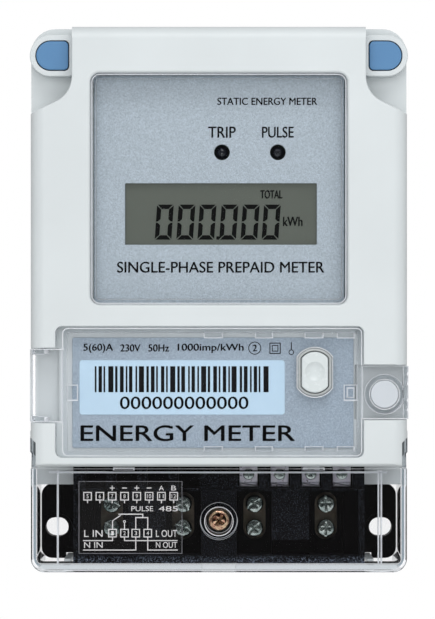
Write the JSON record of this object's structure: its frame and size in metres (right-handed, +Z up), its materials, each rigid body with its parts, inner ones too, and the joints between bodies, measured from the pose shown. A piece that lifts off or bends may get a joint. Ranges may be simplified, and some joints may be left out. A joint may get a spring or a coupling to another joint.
{
  "type": "prepaid electricity meter",
  "caption": "Wall-mounted single-phase energy meter with display window, hinged label door, page button and a clear terminal cover over a black terminal block.",
  "frame": {"origin": "centre of the 112 by 160 mm outline on the back face that lies on the wall", "axes": "+Z up the wall, +X to the right seen from the front, +Y into the wall; the front faces -Y"},
  "size_m": [0.112, 0.058, 0.1598],
  "materials": {
    "case_grey": "moulded light grey polycarbonate, satin",
    "clear": "transparent polycarbonate, polished",
    "seal_blue": "moulded blue, satin",
    "panel_silver": "fine silver-grey lacquer",
    "panel_slate": "fine slate-grey lacquer",
    "label_blue": "printed self-adhesive label",
    "lcd": "reflective liquid crystal cell",
    "white_plastic": "moulded off-white",
    "seal_white": "moulded grey-white, satin",
    "block_black": "glass-filled black moulding",
    "led_dark": "tinted epoxy lens",
    "board_green": "solder-masked laminate",
    "chip_black": "moulded black, matt",
    "brass": "machined",
    "nickel": "plated sheet steel",
    "zinc": "bright zinc plated",
    "zinc_yellow": "yellow zinc passivated",
    "copper": "copper strip",
    "rubber_grey": "soft moulded gasket",
    "component_blue": "sleeved component",
    "film": "clear printed film"
  },
  "bodies": {
    "case": {"base_shell": "case_grey", "case_gasket": "rubber_grey", "front_cover": "case_grey", "window_pane": "clear", "upper_nameplate": "panel_silver", "lcd_glass": "lcd", "lcd_backlight": "white_plastic", "trip_led": "led_dark", "pulse_led": "led_dark", "main_board": "board_green", "metering_chip": "chip_black", "power_transformer": "copper", "latching_relay": "chip_black", "current_shunt": "copper", "relay_busbar": "copper", "neutral_link": "copper", "backup_battery": "component_blue", "filter_capacitor": "component_blue", "surge_varistor": "component_blue", "tact_switch": "chip_black", "lower_nameplate": "panel_slate", "barcode_label": "label_blue", "seal_cap_left": "seal_blue", "seal_cap_right": "seal_blue", "case_screw_left": "zinc", "case_screw_right": "zinc", "terminal_block": "block_black", "cover_screw_post": "block_black", "cover_screw_insert": "brass", "terminal_clamp_1": "brass", "aux_clamp_1": "nickel", "terminal_clamp_2": "brass", "aux_clamp_2": "nickel", "terminal_clamp_3": "brass", "aux_clamp_3": "nickel", "terminal_clamp_4": "brass", "aux_clamp_4": "nickel"},
    "hanger": {"hanger_clip": "nickel"},
    "button": {"page_button": "white_plastic"},
    "door": {"flip_door": "clear", "door_seal_cap": "seal_white", "door_screw": "zinc"},
    "terminal_cover": {"terminal_cover": "clear", "wiring_label": "film"},
    "cover_screw": {"cover_screw": "zinc_yellow"},
    "terminal_screw_1_upper": {"terminal_screw_1_upper": "zinc"},
    "terminal_screw_1_lower": {"terminal_screw_1_lower": "zinc"},
    "terminal_screw_2_upper": {"terminal_screw_2_upper": "zinc"},
    "terminal_screw_2_lower": {"terminal_screw_2_lower": "zinc"},
    "terminal_screw_3_upper": {"terminal_screw_3_upper": "zinc"},
    "terminal_screw_3_lower": {"terminal_screw_3_lower": "zinc"},
    "terminal_screw_4_upper": {"terminal_screw_4_upper": "zinc"},
    "terminal_screw_4_lower": {"terminal_screw_4_lower": "zinc"},
    "aux_screw_1": {"aux_screw_1": "zinc"},
    "aux_screw_2": {"aux_screw_2": "zinc"},
    "aux_screw_3": {"aux_screw_3": "zinc"},
    "aux_screw_4": {"aux_screw_4": "zinc"}
  },
  "joints": [
    {"name": "door_hinge", "type": "hinge", "parent": "case", "child": "door", "pos_m": [-0.0517, -0.054, -0.0251], "axis": [0, 0, -1], "range_deg": [0, 120]},
    {"name": "button_press", "type": "slide", "parent": "case", "child": "button", "axis": [0, 1, 0], "range_m": [0, 0.001], "stiffness_N_per_m": 400, "springref_m": -0.001},
    {"name": "terminal_cover_off", "type": "slide", "parent": "case", "child": "terminal_cover", "axis": [0, -1, 0], "range_m": [0, 0.06]},
    {"name": "cover_screw_back_out", "type": "slide", "parent": "terminal_cover", "child": "cover_screw", "axis": [0, -1, 0], "range_m": [0, 0.005]},
    {"name": "hanger_slide", "type": "slide", "parent": "case", "child": "hanger", "axis": [0, 0, 1], "range_m": [0, 0.012]},
    {"name": "terminal_screw_1_upper_turn_out", "type": "slide", "parent": "case", "child": "terminal_screw_1_upper", "axis": [0, -1, 0], "range_m": [0, 0.003]},
    {"name": "terminal_screw_1_lower_turn_out", "type": "slide", "parent": "case", "child": "terminal_screw_1_lower", "axis": [0, -1, 0], "range_m": [0, 0.003]},
    {"name": "terminal_screw_2_upper_turn_out", "type": "slide", "parent": "case", "child": "terminal_screw_2_upper", "axis": [0, -1, 0], "range_m": [0, 0.003]},
    {"name": "terminal_screw_2_lower_turn_out", "type": "slide", "parent": "case", "child": "terminal_screw_2_lower", "axis": [0, -1, 0], "range_m": [0, 0.003]},
    {"name": "terminal_screw_3_upper_turn_out", "type": "slide", "parent": "case", "child": "terminal_screw_3_upper", "axis": [0, -1, 0], "range_m": [0, 0.003]},
    {"name": "terminal_screw_3_lower_turn_out", "type": "slide", "parent": "case", "child": "terminal_screw_3_lower", "axis": [0, -1, 0], "range_m": [0, 0.003]},
    {"name": "terminal_screw_4_upper_turn_out", "type": "slide", "parent": "case", "child": "terminal_screw_4_upper", "axis": [0, -1, 0], "range_m": [0, 0.003]},
    {"name": "terminal_screw_4_lower_turn_out", "type": "slide", "parent": "case", "child": "terminal_screw_4_lower", "axis": [0, -1, 0], "range_m": [0, 0.003]},
    {"name": "aux_screw_1_turn_out", "type": "slide", "parent": "case", "child": "aux_screw_1", "axis": [0, -1, 0], "range_m": [0, 0.0025]},
    {"name": "aux_screw_2_turn_out", "type": "slide", "parent": "case", "child": "aux_screw_2", "axis": [0, -1, 0], "range_m": [0, 0.0025]},
    {"name": "aux_screw_3_turn_out", "type": "slide", "parent": "case", "child": "aux_screw_3", "axis": [0, -1, 0], "range_m": [0, 0.0025]},
    {"name": "aux_screw_4_turn_out", "type": "slide", "parent": "case", "child": "aux_screw_4", "axis": [0, -1, 0], "range_m": [0, 0.0025]}
  ]
}
